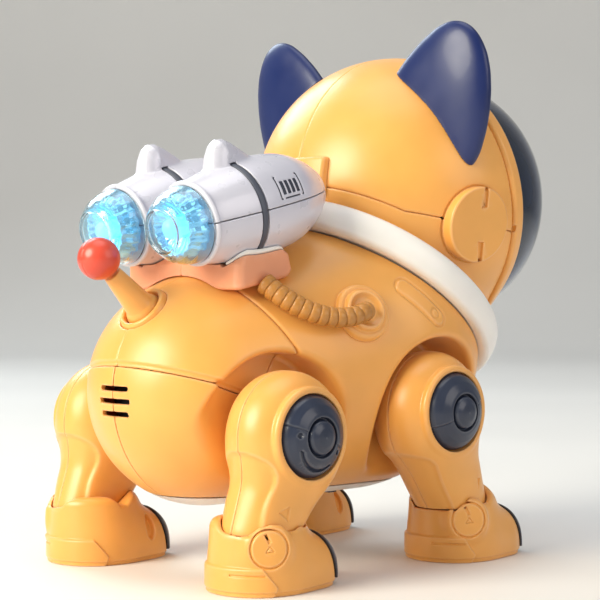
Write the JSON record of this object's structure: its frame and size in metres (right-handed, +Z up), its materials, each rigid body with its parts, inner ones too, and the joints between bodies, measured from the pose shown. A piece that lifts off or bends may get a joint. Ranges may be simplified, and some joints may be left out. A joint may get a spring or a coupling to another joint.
{
  "type": "robot dog toy",
  "caption": "Standing robot dog toy with a round visored head, upright ears, a twin rocket-pod pack with lit nozzles, side hoses, a knob tail and swinging legs.",
  "frame": {"origin": "centre of the bounding box in plan, on the standing surface", "axes": "+X towards the nose, +Y towards the dog's left, +Z up"},
  "size_m": [0.222, 0.134, 0.2076],
  "materials": {
    "shell": "satin warm orange-yellow",
    "trim_white": "satin white",
    "navy": "satin dark navy grey",
    "inner": "matt black",
    "circuit": "green board",
    "visor": "smoked, glossy",
    "face": "matt dark blue",
    "eye": "glossy, lit cyan",
    "tail_ball": "glossy red-orange",
    "pod": "satin light grey",
    "band": "matt dark grey",
    "lens": "clear, glossy",
    "lamp": "milky, lit blue-white",
    "saddle": "satin apricot",
    "hose": "satin bronze-orange"
  },
  "bodies": {
    "trunk": {"torso_shell_left": "shell", "torso_shell_right": "shell", "rump_cover": "shell", "tail_socket": "shell", "hose_port_left": "shell", "hose_port_right": "shell", "neck_collar": "trim_white", "belly_pan": "trim_white", "drive_gearbox": "inner", "battery_pack": "inner", "speaker": "inner", "circuit_board": "circuit", "pod_upper_left": "pod", "pod_upper_right": "pod", "pod_lower_left": "pod", "pod_lower_right": "pod", "pod_band_left": "band", "pod_band_right": "band", "nozzle_lens_left": "lens", "nozzle_lens_right": "lens", "nozzle_lamp_left": "lamp", "nozzle_lamp_right": "lamp", "pack_saddle": "saddle", "pack_hose_left": "hose", "pack_hose_right": "hose"},
    "head": {"head_shell_upper": "shell", "head_shell_lower": "shell", "head_latch": "shell", "face_bezel": "shell", "ear_disc_left": "shell", "ear_disc_right": "shell", "ear_left": "navy", "ear_right": "navy", "neck_pivot": "inner", "visor": "visor", "face_plate": "face", "eye_left": "eye", "eye_right": "eye"},
    "tail": {"tail_stalk": "shell", "tail_ball": "tail_ball"},
    "battery_door": {"battery_door": "trim_white"},
    "power_switch": {"power_switch": "navy"},
    "leg_front_left": {"leg_outer_front_left": "shell", "leg_inner_front_left": "shell", "hub_cap_front_left": "navy", "shoe_front_left": "shell"},
    "leg_front_right": {"leg_outer_front_right": "shell", "leg_inner_front_right": "shell", "hub_cap_front_right": "navy", "shoe_front_right": "shell"},
    "leg_rear_left": {"leg_outer_rear_left": "shell", "leg_inner_rear_left": "shell", "hub_cap_rear_left": "navy", "shoe_rear_left": "shell"},
    "leg_rear_right": {"leg_outer_rear_right": "shell", "leg_inner_rear_right": "shell", "hub_cap_rear_right": "navy", "shoe_rear_right": "shell"}
  },
  "joints": [
    {"name": "head_turn", "type": "hinge", "parent": "trunk", "child": "head", "pos_m": [0.0326, 0, 0.1022], "axis": [0.5878, 0, 0.809], "range_deg": [-18, 18]},
    {"name": "tail_wag", "type": "hinge", "parent": "trunk", "child": "tail", "pos_m": [-0.0815, 0, 0.0962], "axis": [0.67, 0, 0.7424], "range_deg": [-18, 18]},
    {"name": "hip_front_right", "type": "hinge", "parent": "trunk", "child": "leg_front_right", "pos_m": [0.017, -0.048, 0.0583], "axis": [0, 1, 0], "range_deg": [-14, 14]},
    {"name": "hip_rear_left", "type": "hinge", "parent": "trunk", "child": "leg_rear_left", "pos_m": [-0.0589, 0.048, 0.0538], "axis": [0, 1, 0], "range_deg": [-14.01, 14.01]},
    {"name": "hip_front_left", "type": "hinge", "parent": "trunk", "child": "leg_front_left", "pos_m": [0.017, 0.048, 0.0583], "axis": [0, 1, 0], "range_deg": [-14.01, 14.01]},
    {"name": "hip_rear_right", "type": "hinge", "parent": "trunk", "child": "leg_rear_right", "pos_m": [-0.0589, -0.048, 0.0538], "axis": [0, 1, 0], "range_deg": [-14.01, 14.01]},
    {"name": "battery_door_pull", "type": "slide", "parent": "trunk", "child": "battery_door", "axis": [0, 0, -1], "range_m": [0, 0.012]},
    {"name": "power_switch_slide", "type": "slide", "parent": "trunk", "child": "power_switch", "axis": [1, 0, 0], "range_m": [-0.0015, 0.0015]}
  ],
  "couplings": [
    {"joint": "hip_rear_left", "follows": "hip_front_right", "ratio": 1},
    {"joint": "hip_front_left", "follows": "hip_front_right", "ratio": -1},
    {"joint": "hip_rear_right", "follows": "hip_front_right", "ratio": -1}
  ]
}
